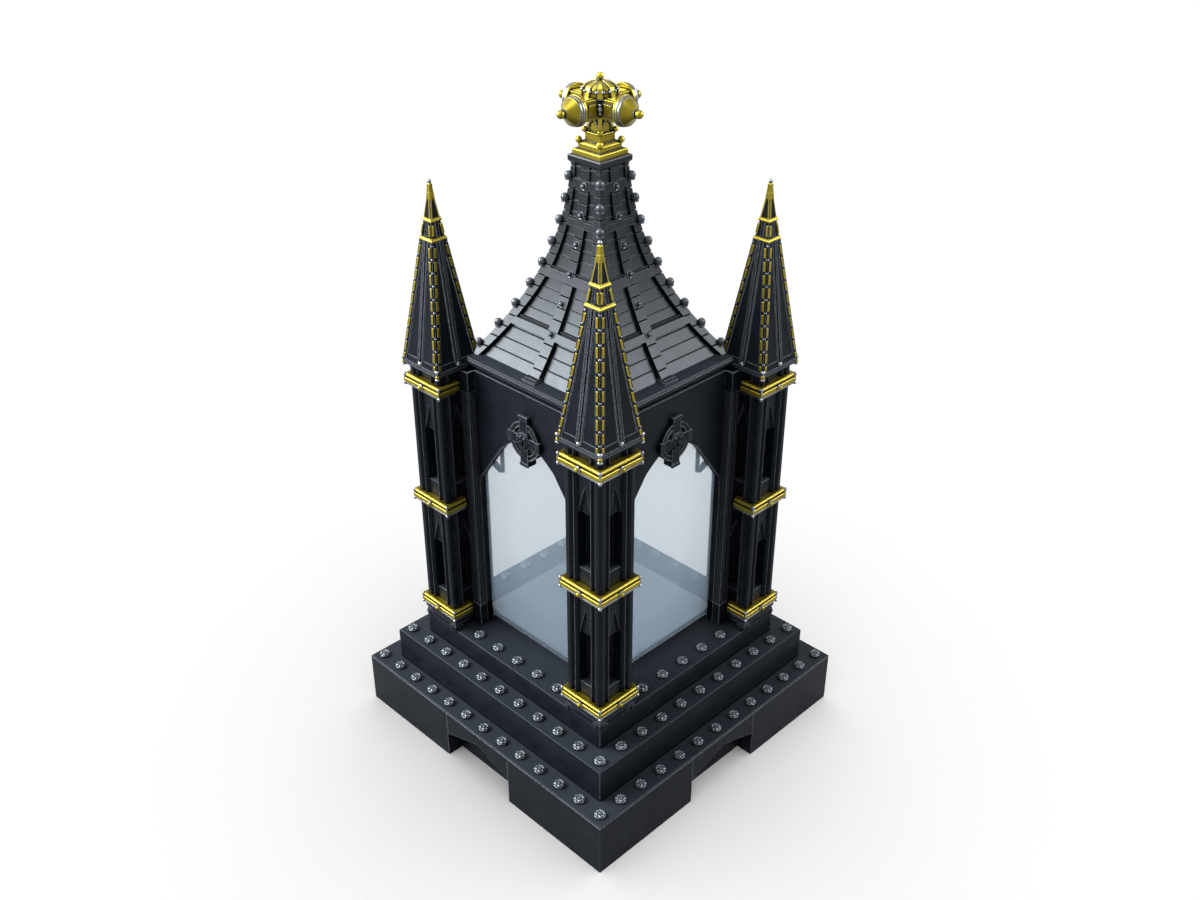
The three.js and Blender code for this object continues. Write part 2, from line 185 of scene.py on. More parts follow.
# ---- placing shells ----------------------------------------------------------------------------------
def place(shells, *matrices):
    return [([matrix @ point for point in points], faces) for matrix in matrices for points, faces in shells]


def at(x, y, z):
    return Matrix.Translation((x, y, z))


def turn(quarters):
    return Matrix.Rotation(quarters * QUARTER, 4, "Z")


def spread(shells):
    """The shells on all four sides."""
    return place(shells, *[turn(quarters) for quarters in range(4)])


# carries +Z to -Y, so that a turned body stands out from the front
FORWARD = Matrix.Rotation(QUARTER, 4, "X")
MIRROR = Matrix.Scale(-1, 4, (1, 0, 0))


def mirrored(shells):
    return shells + place(shells, MIRROR)


def make(name, shells, material, nodes=(), bevel=0.3):
    """One visible piece from closed shells, with rounded edges; it replaces the named nodes."""
    mesh = bpy.data.meshes.new(name)
    bm = bmesh.new()
    for points, faces in shells:
        verts = [bm.verts.new(point * MM) for point in points]
        for face in faces:
            bm.faces.new([verts[i] for i in face])
    bmesh.ops.recalc_face_normals(bm, faces=bm.faces)
    bm.to_mesh(mesh)
    bm.free()
    mesh.polygons.foreach_set("use_smooth", [True] * len(mesh.polygons))
    piece = bpy.data.objects.new(name, mesh)
    bpy.context.scene.collection.objects.link(piece)
    mesh.materials.append(material)
    if bevel:
        edges = piece.modifiers.new("edges", "BEVEL")
        edges.width = bevel * MM
        edges.segments = 2
        edges.limit_method = "ANGLE"
        edges.angle_limit = math.radians(32)
        edges.harden_normals = True
    else:
        mesh.set_sharp_from_angle(angle=math.radians(38))
    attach(piece, "root")
    if nodes:
        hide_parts(*nodes)
    return piece


# ---- materials ---------------------------------------------------------------------------------------
# scale, detail and roughness of the noise behind the colour, the worn edges, the gloss and the bump
CLOUDS, BREAKUP, PATCHES, GRAIN = (60, 5, 0.6), (900, 3, 0.6), (140, 4, 0.55), (420, 6, 0.62)
# CREVICE_REACH is how far the painted crevice shade looks for a nearby surface; CREVICE_SHADE is how dark
# that painted shade gets, as a share of the base colour
BUMP_DEPTH, EDGE_REACH, CREVICE_REACH = 0.0004, 0.0007, 0.0013
CREVICE_SHADE = 0.06


class Finish:
    """A Principled material: cloudy colour, fine bump, patchy gloss, rubbed edges, painted shade in crevices
    and, where given, painted shading on level tops.
    """

    def __init__(self, name, base, cloud, worn, metallic, specular, roughness, wear, grain, painted_top_shading=None,
                 tint=(0.74, 0.87, 1)):
        self.material = bpy.data.materials.new(name)
        self.material.use_nodes = True
        tree = self.material.node_tree
        self.nodes, self.links = tree.nodes, tree.links
        self.shader = self.nodes["Principled BSDF"]
        self.shader.inputs["Metallic"].default_value = metallic
        self.shader.inputs["Specular IOR Level"].default_value = specular
        self.shader.inputs["Specular Tint"].default_value = (*tint, 1) if metallic < 0.5 else (1, 1, 1, 1)
        self.place = self.nodes.new("ShaderNodeTexCoord").outputs["Object"]
        colour = self.mix(self.spanned(self.noise(*CLOUDS), 0.35, 0.7), base, cloud)
        # painted top shading: surfaces that face up take a set colour, standing in for the light from above
        if painted_top_shading:
            colour = self.mix(self.spanned(self.upward(), 0.6, 1.0), colour, painted_top_shading)
        rubbed = self.math("MULTIPLY", self.edges(self.noise(*BREAKUP)), wear)
        colour = self.mix(rubbed, colour, worn)
        # painted shade: where surfaces meet, the colour darkens towards a small share of the base
        colour = self.mix(self.painted_crevice_shade(), colour, tuple(CREVICE_SHADE * value for value in base))
        self.links.new(colour, self.shader.inputs["Base Color"])
        gloss = self.nodes.new("ShaderNodeMapRange")
        gloss.inputs["To Min"].default_value = roughness[0]
        gloss.inputs["To Max"].default_value = roughness[1]
        self.links.new(self.noise(*PATCHES), gloss.inputs["Value"])
        self.links.new(gloss.outputs["Result"], self.shader.inputs["Roughness"])
        bump = self.nodes.new("ShaderNodeBump")
        bump.inputs["Strength"].default_value = grain
        bump.inputs["Distance"].default_value = BUMP_DEPTH
        self.links.new(self.noise(*GRAIN), bump.inputs["Height"])
        self.links.new(bump.outputs["Normal"], self.shader.inputs["Normal"])

    def noise(self, scale, detail, roughness):
        node = self.nodes.new("ShaderNodeTexNoise")
        node.inputs["Scale"].default_value = scale
        node.inputs["Detail"].default_value = detail
        node.inputs["Roughness"].default_value = roughness
        self.links.new(self.place, node.inputs["Vector"])
        return node.outputs["Fac"]

    def spanned(self, value, start, end):
        node = self.nodes.new("ShaderNodeMapRange")
        node.inputs["From Min"].default_value = start
        node.inputs["From Max"].default_value = end
        self.links.new(value, node.inputs["Value"])
        return node.outputs["Result"]

    def math(self, operation, value, other):
        node = self.nodes.new("ShaderNodeMath")
        node.operation = operation
        node.use_clamp = True
        for socket, source in zip(node.inputs, (value, other)):
            if isinstance(source, (int, float)):
                socket.default_value = source
            else:
                self.links.new(source, socket)
        return node.outputs["Value"]

    def mix(self, factor, first, second):
        node = self.nodes.new("ShaderNodeMix")
        node.data_type = "RGBA"
        self.links.new(factor, node.inputs["Factor"])
        for socket, source in ((node.inputs["A"], first), (node.inputs["B"], second)):
            if isinstance(source, tuple):
                socket.default_value = (*source, 1)
            else:
                self.links.new(source, socket)
        return node.outputs["Result"]

    def edges(self, breakup):
        """How far a surface turns within a fraction of a millimetre: 1 on an edge, 0 on a flat."""
        rounded = self.nodes.new("ShaderNodeBevel")
        rounded.samples = 4
        rounded.inputs["Radius"].default_value = EDGE_REACH
        flat = self.nodes.new("ShaderNodeNewGeometry")
        agreement = self.nodes.new("ShaderNodeVectorMath")
        agreement.operation = "DOT_PRODUCT"
        self.links.new(rounded.outputs["Normal"], agreement.inputs[0])
        self.links.new(flat.outputs["Normal"], agreement.inputs[1])
        turned_away = self.math("SUBTRACT", 1.0, agreement.outputs["Value"])
        edge = self.spanned(turned_away, 0.02, 0.2)
        return self.math("MULTIPLY", edge, self.spanned(breakup, 0.25, 0.55))

    def upward(self):
        """1 on level surfaces that face up, where the painted top shading goes."""
        parts = self.nodes.new("ShaderNodeSeparateXYZ")
        self.links.new(self.nodes.new("ShaderNodeNewGeometry").outputs["Normal"], parts.inputs["Vector"])
        return parts.outputs["Z"]

    def painted_crevice_shade(self):
        """Painted shade: 1 in the corner where two surfaces meet, 0 on open surfaces."""
        hidden = self.nodes.new("ShaderNodeAmbientOcclusion")
        hidden.samples = 6
        hidden.inputs["Distance"].default_value = CREVICE_REACH
        return self.spanned(self.math("SUBTRACT", 1.0, hidden.outputs["AO"]), 0.12, 0.42)


def clear_glass(name, colour, alpha):
    material = bpy.data.materials.new(name)
    material.use_nodes = True
    shader = material.node_tree.nodes["Principled BSDF"]
    shader.inputs["Base Color"].default_value = (*colour, 1)
    shader.inputs["Alpha"].default_value = alpha
    shader.inputs["Roughness"].default_value = 0.06
    shader.inputs["IOR"].default_value = 1.5
    return material


# the black's painted top shading makes level tops lighter: a painted highlight from above
BLACK = Finish("blackened_metal", base=(0.002, 0.0028, 0.0043), cloud=(0.0038, 0.005, 0.0072),
               worn=(0.24, 0.265, 0.3), metallic=0.0, specular=0.06, roughness=(0.3, 0.44),
               wear=0.8, grain=0.1, painted_top_shading=(0.0075, 0.0092, 0.012)).material
STUD_METAL = Finish("burnished_black", base=(0.022, 0.026, 0.032), cloud=(0.04, 0.045, 0.052),
                    worn=(0.26, 0.28, 0.3), metallic=0.35, specular=0.4, roughness=(0.26, 0.38),
                    wear=0.8, grain=0.08).material
ROOF_METAL = Finish("roof_metal", base=(0.0012, 0.0016, 0.0022), cloud=(0.0024, 0.003, 0.004),
                    worn=(0.12, 0.135, 0.15), metallic=0.0, specular=0.2, roughness=(0.34, 0.44),
                    wear=0.3, grain=0.06, tint=(0.79, 0.9, 1)).material
# the gilt's painted top shading makes level tops darker: a painted shade against the lamps above
GILT = Finish("gilt", base=(0.15, 0.12, 0.008), cloud=(0.2, 0.16, 0.013), worn=(0.6, 0.5, 0.13),
              metallic=0.85, specular=0.4, roughness=(0.3, 0.42), wear=0.5, grain=0.07,
              painted_top_shading=(0.12, 0.092, 0.005)).material
BRIGHT_GILT = Finish("burnished_gilt", base=(0.25, 0.205, 0.014), cloud=(0.32, 0.27, 0.026),
                     worn=(0.7, 0.6, 0.2), metallic=0.9, specular=0.4, roughness=(0.24, 0.34),
                     wear=0.4, grain=0.05).material
SILVER = Finish("burnished_knots", base=(0.13, 0.137, 0.148), cloud=(0.2, 0.208, 0.22),
                worn=(0.5, 0.51, 0.52), metallic=1.0, specular=0.5, roughness=(0.3, 0.42),
                wear=0.6, grain=0.08).material
PANE_GLASS = clear_glass("case_glass", (0.49, 0.64, 0.76), 0.2)
FLOOR_GLASS = clear_glass("floor_glass", (0.5, 0.62, 0.745), 0.5)


# ---- rosettes and beads ------------------------------------------------------------------------------
def rosette(radius, rise, base=0.45):
    """A round boss: a plain foot, a ring of eight petals and a bead in the middle."""
    foot = rise * base
    return [
        turned([(radius * 0.93, -0.5), (radius * 0.93, foot * 0.8), (radius * 0.84, foot)], 32),
        turned([(radius * 0.9, foot - 0.3, radius * 0.1), (radius, foot + rise * 0.12, radius * 0.2),
                (radius * 0.94, foot + rise * 0.28, radius * 0.24),
                (radius * 0.74, foot + rise * 0.38, radius * 0.2),
                (radius * 0.5, foot + rise * 0.3, radius * 0.1), (radius * 0.3, foot)], 48, 8),
        turned([(radius * 0.36, foot), (radius * 0.4, foot + rise * 0.28), (radius * 0.3, rise * 0.93),
                (radius * 0.14, rise), (0, rise * 1.02)], 16),
    ]


# ---- plinth ------------------------------------------------------------------------------------------
STUD_RADIUS, STUD_RISE = 3.9, 3.2
SLABS = (
    # node, distance of the stud row from the middle, pitch of the row, studs from the middle to a corner
    ("plinth_lower", 112.5, 18.75, 6),
    ("plinth_middle", 96.5, 19.3, 5),
    ("plinth_upper", 80.0, 20.0, 2),
)
SLAB_EDGE = 1.2
RECESS_HALF, RECESS_WALL, RECESS_APEX, RECESS_DEPTH = 32.0, 20.0, 30.7, 12.0


def slab(half, bottom, top):
    return tower([(half - 0.5, bottom), (half, bottom + 0.5), (half, top - SLAB_EDGE),
                  (half - SLAB_EDGE * 0.3, top - SLAB_EDGE * 0.3), (half - SLAB_EDGE, top)])


def recessed_slab(half, bottom, top):
    """The lowest slab: a core and four corner blocks, with a wall over the gabled recess on each side."""
    inner = half - RECESS_DEPTH
    corner = [(RECESS_HALF, -half), (half - 0.3, -half), (half, -half + 0.3), (half, -RECESS_HALF),
              (inner, -RECESS_HALF), (inner, -inner), (RECESS_HALF, -inner)]
    gable = [(-RECESS_HALF, RECESS_WALL), (0, RECESS_APEX), (RECESS_HALF, RECESS_WALL),
             (RECESS_HALF, top - SLAB_EDGE), (-RECESS_HALF, top - SLAB_EDGE)]
    cap = tower([(half, top - SLAB_EDGE), (half - SLAB_EDGE * 0.3, top - SLAB_EDGE * 0.3),
                 (half - SLAB_EDGE, top)])
    core = box(-inner, inner, -inner, inner, bottom, top - SLAB_EDGE)
    return [core, cap] + spread([prism(corner, bottom, top - SLAB_EDGE), plate(gable, -half, -inner)])


def stud_row(line, pitch, count):
    cornered = abs(pitch * count - line) < 1
    spots = [pitch * i for i in range(-count, count if cornered else count + 1)]
    return spread(place(rosette(STUD_RADIUS, STUD_RISE), *[at(x, -line, 0) for x in spots]))


def plinth():
    for index, (node, line, pitch, count) in enumerate(SLABS):
        half, bottom = high(node, 0), low(node)
        top = low(SLABS[index + 1][0]) if index + 1 < len(SLABS) else PLINTH_TOP
        shells = recessed_slab(half, bottom, top) if index == 0 else [slab(half, bottom, top)]
        make(f"{node}_slab", shells, BLACK, [node], bevel=0.35)
        studs = place(stud_row(line, pitch, count), at(0, 0, top))
        make(f"{node}_studs", studs, STUD_METAL, bevel=0)


# ---- pillars -----------------------------------------------------------------------------------------
NICHE_HALF, NICHE_BACK, PANEL = 5.3, 6.3, 12.6
NICHE_SILLS = (107.3, 196.6)
NICHE_SPRING, NICHE_RISE = 39.0, 18.5
COLONNETTE = 2.1
WALL_LIMIT = PILLAR_AT - JAMB_FRONT - 0.3


def post_outline():
    """A corner of the shaft: from the splay beside the niche, over the V-groove, round the colonnette."""
    out, groove = PILLAR_HALF, PILLAR_HALF - 2
    side = [(out - 1.9, NICHE_HALF), (out, 7.2), (groove, 9.0), (out, 11.0)]
    centre = out - COLONNETTE
    bend = [(centre + COLONNETTE * math.cos(a), centre + COLONNETTE * math.sin(a))
            for a in (i * QUARTER / 5 for i in range(6))]
    return [(NICHE_HALF, NICHE_HALF)] + side + bend + [(y, x) for x, y in reversed(side)]


def niche_fill(bottom, top, arched):
    """The panel between two niches; its lower edge is the pointed head of the niche below."""
    half = NICHE_HALF + 0.1
    foot = [(-half, bottom), (half, bottom)]
    if not arched:
        return [plate(foot + [(half, top), (-half, top)], -PANEL, -NICHE_BACK + 0.5)]
    foot.insert(1, (0, bottom + NICHE_RISE))
    head = box(-half, half, -PANEL + 1.7, -NICHE_BACK + 0.5, bottom, top)
    return [plate(foot + [(half, top), (-half, top)], -PANEL, -PANEL + 2.2), head]


def shaft():
    edges = [PLINTH_TOP]
    panels = []
    for sill in NICHE_SILLS:
        panels.append((edges[-1], sill, len(edges) > 1))
        edges.append(sill + NICHE_SPRING)
    panels.append((edges[-1], CEILING, True))
    face = [shell for panel in panels for shell in niche_fill(*panel)]
    core = tower([(NICHE_BACK, PLINTH_TOP), (NICHE_BACK, CEILING)])
    return [core] + spread([prism(post_outline(), PLINTH_TOP, CEILING)] + face)


def outer_corners(reach, z=0):
    """The three corners of a pillar that stand clear of the walls."""
    return [at(x, y, z) for x, y in ((reach, -reach), (reach, reach), (-reach, -reach))]


def pillar_foot():
    block = tower([(15.9, 0), (15.9, 4.2), (15.4, 4.8), (15.4, 5.6), (16.4, 6.2), (16.4, 8), (15.6, 8.8),
                   (15.6, 10)], PLINTH_TOP)
    claw = turned([(4.5, 0, 0.5), (4.7, 1.2, 0.7), (4.4, 2.6, 0.7), (3.4, 3.6, 0.5), (3.2, 4.4, 0.2),
                   (2.2, 5.0), (0, 5.2)], 32, 8)
    return [block] + place([claw], *outer_corners(13, PLINTH_TOP))


def band_ring(half, z):
    """A band's outline: a square that stops short of the walls."""
    return [(-half, -half, z), (half, -half, z), (half, half, z), (WALL_LIMIT, half, z),
            (WALL_LIMIT, -WALL_LIMIT, z), (-half, -WALL_LIMIT, z)]


def band_part(profile):
    return loft([band_ring(half, z) for half, z in profile])


def knuckle():
    """The silver knot over a corner of a band: a thin stem between two rings."""
    return turned([(0.7, -0.5), (1.1, -0.3), (1.25, 0.4), (1.1, 1.2), (0.75, 1.5), (0.75, 5.9), (1.1, 6.1),
                   (1.25, 6.9), (1.1, 7.6), (0.7, 8.1), (0, 8.3)], 12)


def bands():
    """A band from its foot up, round a pillar at the origin: gilt mouldings, black core, silver knots."""
    half = BAND_HALF
    gilt = [band_part([(half - 0.3, 1.6), (half, 1.8), (half, 4.3), (half - 0.3, 4.6)]),
            band_part([(half - 0.5, 5.8), (half - 0.3, 6.0), (half - 0.3, 7.1), (half - 0.7, 7.4),
                       (half - 0.7, BAND_RISE)])]
    dark = [band_part([(half - 1.2, 0), (half - 1.1, 7.2)])]
    silver = [band_part([(half - 0.9, -0.1), (half - 0.4, 0.2), (half - 0.4, 1.1), (half - 0.9, 1.5)])]
    silver += place([knuckle()], *outer_corners(half - 0.7))
    stand = at(0, -half, 3.3) @ FORWARD
    bead_places = [stand, turn(1) @ stand]
    gilt += place([ball(1.75)], *[spot @ at(0, 0, 0.7) for spot in bead_places])
    socket = hoop([(1.5, -0.4), (2.3, -0.4), (2.3, 0.5), (1.8, 0.8), (1.5, 0.4)], 16)
    silver += place([socket], *bead_places)
    return gilt, dark, silver


def pillars():
    foot, body = pillar_foot(), shaft()
    gilt, dark, silver = bands()
    for quarters, corner in enumerate(CORNERS):
        spot = turn(quarters) @ at(PILLAR_AT, -PILLAR_AT, 0)
        make(f"pillar_shaft_{corner}", place(body, spot), BLACK, [f"pillar_{corner}"],
             bevel=0.35)
        make(f"pillar_foot_{corner}", place(foot, spot), BLACK, bevel=0.25)
        levels = [spot @ at(0, 0, top - BAND_RISE) for top in BAND_TOPS]
        for band, level in zip(BANDS, levels):
            make(f"band_{band}_gilding_{corner}", place(gilt, level), GILT, [f"band_{band}_{corner}"],
                 bevel=0.2)
        make(f"band_cores_{corner}", place(dark, *levels), BLACK, bevel=0.2)
        make(f"band_knots_{corner}", place(silver, *levels), SILVER, bevel=0)


# ---- arched walls ------------------------------------------------------------------------------------
ARCH_SPRING, ARCH_KINK_X, ARCH_KINK_Z, ARCH_APEX = 201.0, 24.0, 234.4, 250.5
JAMB_BASE, JAMB_CAPITAL = 97.5, 266.3
GROOVE = 0.8


def arch_line():
    """The right half of the opening's edge, from the springing to the apex."""
    points = [(OPENING_HALF, ARCH_SPRING), (ARCH_KINK_X, ARCH_KINK_Z)]
    steps = 7
    bend = (ARCH_KINK_X * 0.45, ARCH_KINK_Z + 10.5)
    for i in range(1, steps + 1):
        t = i / steps
        x = (1 - t) ** 2 * ARCH_KINK_X + 2 * t * (1 - t) * bend[0]
        z = (1 - t) ** 2 * ARCH_KINK_Z + 2 * t * (1 - t) * bend[1] + t * t * ARCH_APEX
        points.append((x, z))
    return points


def grooved_line(start, end, spots):
    """The points from start to end with a V-groove at each spot, a distance along the line."""
    start, end = Vector(start), Vector(end)
    along = (end - start).normalized()
    inward = Vector((-along.y, along.x))
    points = [start]
    for spot in spots:
        middle = start + along * spot
        points += [middle - along * GROOVE * 0.6, middle + inward * GROOVE, middle + along * GROOVE * 0.6]
    points.append(end)
    return [tuple(point) for point in points]


def jamb():
    """The pier beside the opening: a fluted shaft between a plain base and capital."""
    inset = 0.5
    x0, x1, y0, y1 = OPENING_HALF + inset, WALL_HALF, -JAMB_FRONT + inset, -WALL_BACK
    side = grooved_line((x0, y1), (x0, y0), (0.8, 2.2, 4.3, 6.2, 8.0, 9.3))
    front = grooved_line((x0, y0), (x1, y0), (1.4, 2.7, 5.5))
    shaft_outline = side[:-1] + front + [(x1, y1)]
    base = box(OPENING_HALF, WALL_HALF, -JAMB_FRONT, y1, PLINTH_TOP, JAMB_BASE)
    capital = box(OPENING_HALF, WALL_HALF, -JAMB_FRONT, y1, JAMB_CAPITAL, CEILING)
    return [prism(shaft_outline, PLINTH_TOP, CEILING), base, capital]


def arch_wall():
    edge = arch_line()
    outline = [(WALL_HALF, PLINTH_TOP), (WALL_HALF, CEILING), (-WALL_HALF, CEILING), (-WALL_HALF, PLINTH_TOP),
               (-OPENING_HALF, PLINTH_TOP)]
    outline += [(-x, z) for x, z in edge] + list(reversed(edge[:-1])) + [(OPENING_HALF, PLINTH_TOP)]
    return [plate(outline, -WALL_FRONT, -WALL_BACK)] + mirrored(jamb())


CROSS_Z = (low("cross_front") + high("cross_front")) / 2
CROSS_FRONT, CROSS_BACK = 67.8, 60.6
BAR_HALF = 3.55


def ringed_cross():
    """Two bars with raised ends, two rings round their crossing and a rosette on it."""
    tall, wide = high("cross_front") - CROSS_Z, high("cross_front", 0)
    front, back = -CROSS_FRONT, -CROSS_BACK
    shells = [box(-BAR_HALF, BAR_HALF, front, back, CROSS_Z - tall, CROSS_Z + tall),
              box(-wide, wide, front, back, CROSS_Z - BAR_HALF, CROSS_Z + BAR_HALF)]
    outward = at(0, front, CROSS_Z) @ FORWARD
    ring = hoop([(9.6, -6), (13.4, -6), (13.4, -0.3), (12.7, -0.3), (12.7, -0.9), (10.4, -0.9), (10.4, -0.3),
                 (9.6, -0.3)], 48)
    inner = hoop([(6.2, -6), (8.6, -6), (8.6, -1.2), (7.9, -0.8), (6.2, -1.2)], 40)
    lip, depths = BAR_HALF + 0.3, (front - 0.5, front + 0.4)
    side_end = [box(-wide - 0.3, -wide + 2.2, *depths, CROSS_Z - lip, CROSS_Z + lip)]
    ends = [box(-lip, lip, *depths, CROSS_Z + tall - 2.2, CROSS_Z + tall + 0.2),
            box(-lip, lip, *depths, CROSS_Z - tall - 0.2, CROSS_Z - tall + 2.2)]
    boss = [hoop([(4.4, -0.4), (6.4, -0.4), (6.4, 0.5), (5.9, 0.9), (5.4, 0.5), (4.4, 0.4)], 32)]
    boss += rosette(5.4, 3.4, 0.3)
    return shells + mirrored(side_end) + ends + place([ring, inner] + boss, outward)


def walls():
    wall, emblem = arch_wall(), ringed_cross()
    for quarters, side in enumerate(SIDES):
        make(f"arch_wall_{side}", place(wall, turn(quarters)), BLACK, [f"arch_{side}"],
             bevel=0.25)
        make(f"ringed_cross_{side}", place(emblem, turn(quarters)), BLACK, [f"cross_{side}"],
             bevel=0.22)


# ---- cornice -----------------------------------------------------------------------------------------
def cornice():
    """The mouldings under the roof, the spires' eaves and a stepped plate in the middle of each side."""
    z = CEILING
    main = tower([(62.2, 0), (62.2, 1.2), (63.3, 1.4), (63.3, 2.5), (64.4, 3.2), (65.6, 3.6), (65.6, 5.4),
                  (64.6, 5.8), (64.6, 6.8), (61.2, 7.7)], z)
    eave = tower([(17.3, 0), (18.1, 0.4), (18.1, 1.3), (17.5, 1.6), (17.5, 2.2), (18.1, 2.5), (18.1, 3.2),
                  (17.4, 3.5), (spire_half(SPIRE_FOOT), SPIRE_FOOT - z)], z)
    plates = [box(-5.8, 5.8, -ROOF_HALF - 5.4, -ROOF_HALF + 2, z + 5.5, z + 8.6),
              box(-5.0, 5.0, -ROOF_HALF - 3.6, -ROOF_HALF + 2, z + 6.5, z + 9.8)]
    eaves = spread(place([eave], at(PILLAR_AT, -PILLAR_AT, 0)))
    make("cornice_mouldings", [main] + eaves + spread(plates), BLACK, ["cornice"], bevel=0.3)


# ---- spires ------------------------------------------------------------------------------------------
RING_UPPER, RING_LOWER = 377.8, 365.8
RING_UPPER_HALF, RING_LOWER_HALF = 4.4, 6.2
STRIP_FOOT, STRIP_PITCH, STRIP_COUNT = 290.3, 8.1, 9
EAVE_CORNER = 17.2
# how far the strips and ribs reach into the spire's faces
SINK = 0.6


def spire_half(z):
    return SPIRE_HALF * (SPIRE_TIP - z) / (SPIRE_TIP - SPIRE_FOOT)


def face_bar(x0, x1, z0, z1, out):
    """A strip on the spire's front face; x0 and x1 are functions of the height."""
    rings = []
    for z in (z0, z1):
        y = -spire_half(z)
        rings.append([(x0(z), y - out, z), (x1(z), y - out, z), (x1(z), y + SINK, z), (x0(z), y + SINK, z)])
    return loft(rings)


def rib(centre, width, z0, z1, out):
    return face_bar(lambda z: centre - width / 2, lambda z: centre + width / 2, z0, z1, out)


def both_faces(shell):
    """A shell beside the front right ridge, and its twin on the other side of the ridge."""
    return [shell] + place([shell], turn(1) @ MIRROR)


def ridge_strips(z0, z1, width=1.55, gap=0.55, out=1.3):
    """The pair of strips along one ridge, over a stretch of its height."""
    bar = face_bar(lambda z: spire_half(z) - gap - width, lambda z: spire_half(z) - gap, z0, z1, out)
    return both_faces(bar)


def spire_body():
    ribs = [rib(x, 1.1, SPIRE_FOOT - 2, RING_LOWER, out) for x, out in ((-1.9, 0.8), (0, 1.25), (1.9, 0.8))]
    ribs.append(rib(0, 2.2, RING_LOWER + 2, RING_UPPER, 0.7))
    bed = face_bar(lambda z: spire_half(z) - 3.3, lambda z: spire_half(z) + 0.7,
                   SPIRE_FOOT - 3.8, RING_LOWER, 0.7)
    shoulder = RING_UPPER + 16
    body = tower([(SPIRE_HALF, SPIRE_FOOT), (spire_half(shoulder), shoulder), (0, SPIRE_TIP - 3)])
    return [body] + spread(ribs + both_faces(bed))


def spire_gilding():
    """The strips along the ridges, the two rings, the tip and the balls under the eave's corners."""
    strips = ridge_strips(SPIRE_FOOT - 2.4, STRIP_FOOT - 1.2)
    for i in range(STRIP_COUNT):
        z = STRIP_FOOT + STRIP_PITCH * i
        strips += ridge_strips(z + 1.0, z + STRIP_PITCH - 1.3)
    strips += ridge_strips(RING_LOWER + 3.2, RING_UPPER - 2.6, 1.1, 0.4, 1.1)
    strips += ridge_strips(RING_UPPER + 1, SPIRE_TIP - 8, 0.75, 0.3, 0.5)
    shoulder = RING_UPPER + 13
    tip = tower([(spire_half(shoulder) + 0.25, shoulder), (1.35, SPIRE_TIP - 6), (1.2, SPIRE_TIP - 3),
                 (0.6, SPIRE_TIP - 2.4)])
    rings = [tower([(half - 0.5, -1), (half, -0.6), (half, 0.3), (half - 0.4, 0.8), (half - 0.4, 1.5),
                    (half - 1.2, 1.8)], z)
             for z, half in ((RING_UPPER, RING_UPPER_HALF), (RING_LOWER, RING_LOWER_HALF))]
    corner_balls = spread(place([ball(1.5)], at(EAVE_CORNER, -EAVE_CORNER, SPIRE_FOOT - 6.2)))
    return spread(strips) + [tip] + rings + corner_balls


def spire_knots():
    """The beads along the ridges, a knob at the foot of each face, the corner stems and the tip's ball."""
    shells = []
    for i in range(STRIP_COUNT + 1):
        z = STRIP_FOOT + STRIP_PITCH * i - 0.1
        half = spire_half(z) - 0.1
        shells += place([ball(1.0, 10, 6)], at(half, -half, z))
    knob = turned([(1.6, -0.6), (1.9, 0.2), (1.5, 1.0), (0.9, 1.5), (0, 1.8)], 14)
    z = SPIRE_FOOT - 2.6
    shells += place([knob], at(0, -spire_half(z), z) @ FORWARD)
    stem = turned([(1.0, 0), (1.6, 0.4), (1.6, 1.1), (1.0, 1.6), (1.0, 5.2), (1.6, 5.6), (1.6, 6.4),
                   (0.9, 7.0)], 14)
    shells += place([stem], at(EAVE_CORNER, -EAVE_CORNER, SPIRE_FOOT - 8.6))
    return spread(shells) + place([ball(1.4)], at(0, 0, SPIRE_TIP - 1.5))


def spires():
    body, gilding, knots = spire_body(), spire_gilding(), spire_knots()
    for quarters, corner in enumerate(CORNERS):
        spot = turn(quarters) @ at(PILLAR_AT, -PILLAR_AT, 0)
        make(f"spire_body_{corner}", place(body, spot), BLACK, [f"spire_{corner}"], bevel=0.2)
        make(f"spire_gilding_{corner}", place(gilding, spot), GILT, [f"spire_trim_{corner}"],
             bevel=0.15)
        make(f"spire_knots_{corner}", place(knots, spot), SILVER, bevel=0)


# ---- roof --------------------------------------------------------------------------------------------
BALL_TOP, BALL_PITCH, BALL_COUNT, BALL_RADIUS = 404.5, 13.7, 9, 2.7
ROOF_STUD_TOP, ROOF_STUD_PITCH, ROOF_STUD_COUNT = 401.2, 17.4, 6
COURSE = BALL_PITCH / 2
# a course too tall for a joint to fall in a plain band
UNBROKEN = 999
JOINT_HALF, JOINT_DEPTH, JOINT_MARGIN = 0.4, 1.2, 0.8
EAVE_LINE = ROOF_FOOT - 2.9
# bottom and top of each tier of panels, from the collar down
TIERS = ((404.5, 414.0), (380.5, 399.0), (348.4, 375.9), (315.6, 343.0), (EAVE_LINE, 311.2))
RIDGE_WIDTH, PILASTER_HALF = 7.6, 4.1
# how far the ribs reach behind the panels' surface
SEAT = 1.2


def fall(z):
    """How far down the roof a height is: 0 at the collar, 1 at the foot."""
    return (ROOF_TOP - z) / (ROOF_TOP - ROOF_FOOT)


def roof_half(z):
    """Half-width of the roof at a height: steep at the collar and sweeping out towards the eaves."""
    return ROOF_NECK + (ROOF_HALF - ROOF_NECK) * (0.18 * fall(z) + 0.82 * max(fall(z), 0) ** 2.25)


def panel_depth(z):
    """How far the panels lie behind the ribs, measured level."""
    return 0.9 + 2.7 * fall(z) ** 0.9


